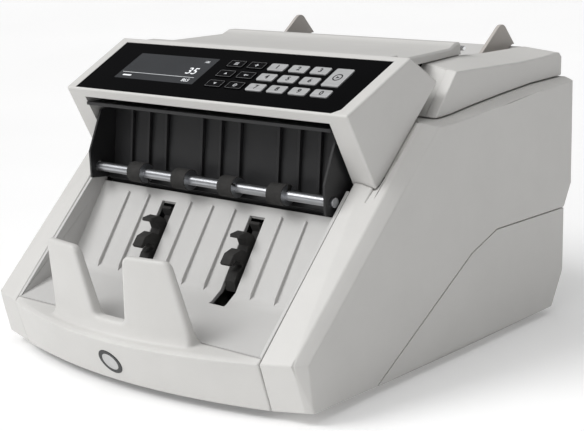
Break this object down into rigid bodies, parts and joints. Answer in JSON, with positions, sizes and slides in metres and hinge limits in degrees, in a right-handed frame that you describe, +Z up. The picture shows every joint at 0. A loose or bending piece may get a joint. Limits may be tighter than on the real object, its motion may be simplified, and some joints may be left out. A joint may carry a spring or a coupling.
{
  "type": "banknote counting machine",
  "caption": "Desktop banknote counter with a sloping rear hopper, a keypad console over an open stacker tray, and note rests at the front.",
  "frame": {"origin": "on the table, in the centre of the machine's footprint", "axes": "+X to the machine's right side seen from the front, -Y towards the front with the stacker tray, +Z up"},
  "size_m": [0.264, 0.2972, 0.1885],
  "materials": {
    "cover_plastic": "fine-grained moulded light warm grey plastic",
    "black_plastic": "satin black moulded plastic",
    "rubber": "matt black rubber",
    "steel": "zinc plated steel",
    "coated_steel": "black powder coated sheet steel",
    "circuit_board": "green solder mask",
    "screen": "dark grey liquid crystal display",
    "panel_gloss": "gloss black panel film",
    "key_silver": "silver lacquered key caps"
  },
  "bodies": {
    "chassis": {"right_side_cover": "cover_plastic", "left_side_cover": "cover_plastic", "base_pan": "cover_plastic", "front_panel": "cover_plastic", "stacker_tray": "cover_plastic", "control_head": "cover_plastic", "top_cover": "cover_plastic", "hopper_deck": "cover_plastic", "hopper_bed": "cover_plastic", "head_undertray": "black_plastic", "hopper_front_plate": "black_plastic", "transport_cover": "black_plastic", "lower_guide_plate": "black_plastic", "upper_guide_plate": "black_plastic", "sensor_bar": "black_plastic", "power_inlet": "black_plastic", "front_badge": "black_plastic", "foot_front_left": "rubber", "foot_front_right": "rubber", "foot_rear_left": "rubber", "foot_rear_right": "rubber", "drive_belt": "rubber", "drive_motor": "steel", "power_supply": "steel", "left_frame_plate": "coated_steel", "right_frame_plate": "coated_steel", "keypad_board": "circuit_board", "main_board": "circuit_board", "display_module": "screen", "panel_window": "panel_gloss"},
    "note_guide_left": {"note_guide_left": "cover_plastic"},
    "note_guide_right": {"note_guide_right": "cover_plastic"},
    "guide_pinion": {"guide_pinion": "black_plastic"},
    "stacker_rotor": {"stacker_shaft": "steel", "stacker_wheel_left": "rubber", "stacker_wheel_right": "rubber"},
    "exit_rollers": {"exit_roller_shaft": "rubber"},
    "feed_rollers": {"feed_roller_shaft": "rubber"},
    "pickup_rollers": {"pickup_roller_shaft": "rubber"},
    "motor_rotor": {"motor_pulley": "steel"},
    "gap_thumbwheel": {"gap_thumbwheel": "black_plastic"},
    "rear_door": {"rear_door": "cover_plastic"},
    "power_rocker": {"power_rocker": "black_plastic"},
    "key_down": {"key_down": "key_silver"},
    "key_currency": {"key_currency": "key_silver"},
    "key_7": {"key_7": "key_silver"},
    "key_8": {"key_8": "key_silver"},
    "key_9": {"key_9": "key_silver"},
    "key_0": {"key_0": "key_silver"},
    "key_up": {"key_up": "key_silver"},
    "key_escape": {"key_escape": "key_silver"},
    "key_4": {"key_4": "key_silver"},
    "key_5": {"key_5": "key_silver"},
    "key_6": {"key_6": "key_silver"},
    "key_menu": {"key_menu": "key_silver"},
    "key_add": {"key_add": "key_silver"},
    "key_1": {"key_1": "key_silver"},
    "key_2": {"key_2": "key_silver"},
    "key_3": {"key_3": "key_silver"},
    "key_start": {"key_start": "key_silver"}
  },
  "joints": [
    {"name": "key_down_press", "type": "slide", "parent": "chassis", "child": "key_down", "axis": [0, 0.4245, -0.9054], "range_m": [0, 0.0006], "stiffness_N_per_m": 300},
    {"name": "key_currency_press", "type": "slide", "parent": "chassis", "child": "key_currency", "axis": [0, 0.4245, -0.9054], "range_m": [0, 0.0006], "stiffness_N_per_m": 300},
    {"name": "key_7_press", "type": "slide", "parent": "chassis", "child": "key_7", "axis": [0, 0.4245, -0.9054], "range_m": [0, 0.0006], "stiffness_N_per_m": 300},
    {"name": "key_8_press", "type": "slide", "parent": "chassis", "child": "key_8", "axis": [0, 0.4245, -0.9054], "range_m": [0, 0.0006], "stiffness_N_per_m": 300},
    {"name": "key_9_press", "type": "slide", "parent": "chassis", "child": "key_9", "axis": [0, 0.4245, -0.9054], "range_m": [0, 0.0006], "stiffness_N_per_m": 300},
    {"name": "key_0_press", "type": "slide", "parent": "chassis", "child": "key_0", "axis": [0, 0.4245, -0.9054], "range_m": [0, 0.0006], "stiffness_N_per_m": 300},
    {"name": "key_up_press", "type": "slide", "parent": "chassis", "child": "key_up", "axis": [0, 0.4245, -0.9054], "range_m": [0, 0.0006], "stiffness_N_per_m": 300},
    {"name": "key_escape_press", "type": "slide", "parent": "chassis", "child": "key_escape", "axis": [0, 0.4245, -0.9054], "range_m": [0, 0.0006], "stiffness_N_per_m": 300},
    {"name": "key_4_press", "type": "slide", "parent": "chassis", "child": "key_4", "axis": [0, 0.4245, -0.9054], "range_m": [0, 0.0006], "stiffness_N_per_m": 300},
    {"name": "key_5_press", "type": "slide", "parent": "chassis", "child": "key_5", "axis": [0, 0.4245, -0.9054], "range_m": [0, 0.0006], "stiffness_N_per_m": 300},
    {"name": "key_6_press", "type": "slide", "parent": "chassis", "child": "key_6", "axis": [0, 0.4245, -0.9054], "range_m": [0, 0.0006], "stiffness_N_per_m": 300},
    {"name": "key_menu_press", "type": "slide", "parent": "chassis", "child": "key_menu", "axis": [0, 0.4245, -0.9054], "range_m": [0, 0.0006], "stiffness_N_per_m": 300},
    {"name": "key_add_press", "type": "slide", "parent": "chassis", "child": "key_add", "axis": [0, 0.4245, -0.9054], "range_m": [0, 0.0006], "stiffness_N_per_m": 300},
    {"name": "key_1_press", "type": "slide", "parent": "chassis", "child": "key_1", "axis": [0, 0.4245, -0.9054], "range_m": [0, 0.0006], "stiffness_N_per_m": 300},
    {"name": "key_2_press", "type": "slide", "parent": "chassis", "child": "key_2", "axis": [0, 0.4245, -0.9054], "range_m": [0, 0.0006], "stiffness_N_per_m": 300},
    {"name": "key_3_press", "type": "slide", "parent": "chassis", "child": "key_3", "axis": [0, 0.4245, -0.9054], "range_m": [0, 0.0006], "stiffness_N_per_m": 300},
    {"name": "key_start_press", "type": "slide", "parent": "chassis", "child": "key_start", "axis": [0, 0.4245, -0.9054], "range_m": [0, 0.0006], "stiffness_N_per_m": 300},
    {"name": "guide_left_slide", "type": "slide", "parent": "chassis", "child": "note_guide_left", "axis": [1, 0, 0], "range_m": [0, 0.022]},
    {"name": "guide_right_slide", "type": "slide", "parent": "chassis", "child": "note_guide_right", "axis": [-1, 0, 0], "range_m": [0, 0.022]},
    {"name": "pinion_turn", "type": "hinge", "parent": "chassis", "child": "guide_pinion", "pos_m": [0, 0.122, 0.16321], "axis": [0, -0.4399, 0.898], "range_deg": [-139, 0]},
    {"name": "feed_spin", "type": "hinge", "parent": "chassis", "child": "feed_rollers", "pos_m": [0, 0.066, 0.131], "axis": [1, 0, 0], "continuous": true},
    {"name": "pickup_spin", "type": "hinge", "parent": "chassis", "child": "pickup_rollers", "pos_m": [0, 0.104, 0.1415], "axis": [1, 0, 0], "continuous": true},
    {"name": "exit_spin", "type": "hinge", "parent": "chassis", "child": "exit_rollers", "pos_m": [0, -0.055, 0.109], "axis": [1, 0, 0], "continuous": true},
    {"name": "stacker_spin", "type": "hinge", "parent": "chassis", "child": "stacker_rotor", "pos_m": [0, -0.058, 0.066], "axis": [1, 0, 0], "continuous": true},
    {"name": "motor_spin", "type": "hinge", "parent": "chassis", "child": "motor_rotor", "pos_m": [0.103, 0.078, 0.062], "axis": [1, 0, 0], "continuous": true},
    {"name": "gap_adjust", "type": "hinge", "parent": "chassis", "child": "gap_thumbwheel", "pos_m": [0, 0.1398, 0.1556], "axis": [0, 0, 1], "range_deg": [-150, 150]},
    {"name": "rear_door_hinge", "type": "hinge", "parent": "chassis", "child": "rear_door", "pos_m": [0, 0.1405, 0.0745], "axis": [-1, 0, 0], "range_deg": [0, 85]},
    {"name": "power_rocker_tilt", "type": "hinge", "parent": "chassis", "child": "power_rocker", "pos_m": [-0.052, 0.1336, 0.032], "axis": [1, 0, 0], "range_deg": [-8, 8]}
  ],
  "couplings": [
    {"joint": "guide_right_slide", "follows": "guide_left_slide", "ratio": 1},
    {"joint": "pinion_turn", "follows": "guide_left_slide", "rad_per_m": -109.29},
    {"joint": "pickup_spin", "follows": "feed_spin", "ratio": 1.0714},
    {"joint": "exit_spin", "follows": "feed_spin", "ratio": -2.3077},
    {"joint": "motor_spin", "follows": "feed_spin", "ratio": 1.8333},
    {"joint": "stacker_spin", "follows": "feed_spin", "ratio": 0.4}
  ]
}
